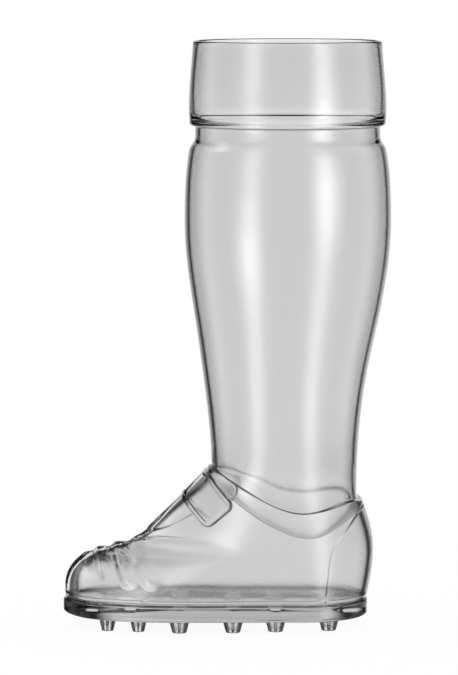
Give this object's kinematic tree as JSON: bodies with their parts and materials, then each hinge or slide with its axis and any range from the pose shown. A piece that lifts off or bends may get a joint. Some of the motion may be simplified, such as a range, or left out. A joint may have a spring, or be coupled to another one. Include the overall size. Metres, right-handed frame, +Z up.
{
  "type": "beer boot glass",
  "caption": "Clear beer glass blown as a footballer's leg: flared sock cuff at the mouth, swelling calf and a hollow studded boot for a foot.",
  "frame": {"origin": "on the table under the middle of the glass's length and width", "axes": "+Z up towards the mouth, toe pointing along -X, heel along +X, mirror plane at Y = 0"},
  "size_m": [0.1896, 0.119, 0.34],
  "materials": {
    "clear_glass": "clear, fire polished"
  },
  "bodies": {
    "root": {"rim_cuff": "clear_glass", "sock_leg": "clear_glass", "boot_upper": "clear_glass", "sole": "clear_glass", "ankle_collar": "clear_glass", "heel_counter": "clear_glass", "lace_strip": "clear_glass", "collar_tab": "clear_glass", "tongue_flap": "clear_glass", "toe_rib_front": "clear_glass", "toe_rib_middle": "clear_glass", "toe_rib_rear": "clear_glass", "stud_toe_left": "clear_glass", "stud_toe_right": "clear_glass", "stud_fore_left": "clear_glass", "stud_fore_right": "clear_glass", "stud_ball_left": "clear_glass", "stud_ball_right": "clear_glass", "stud_waist_left": "clear_glass", "stud_waist_right": "clear_glass", "stud_heel_left": "clear_glass", "stud_heel_right": "clear_glass", "stud_back_left": "clear_glass", "stud_back_right": "clear_glass"}
  },
  "joints": []
}
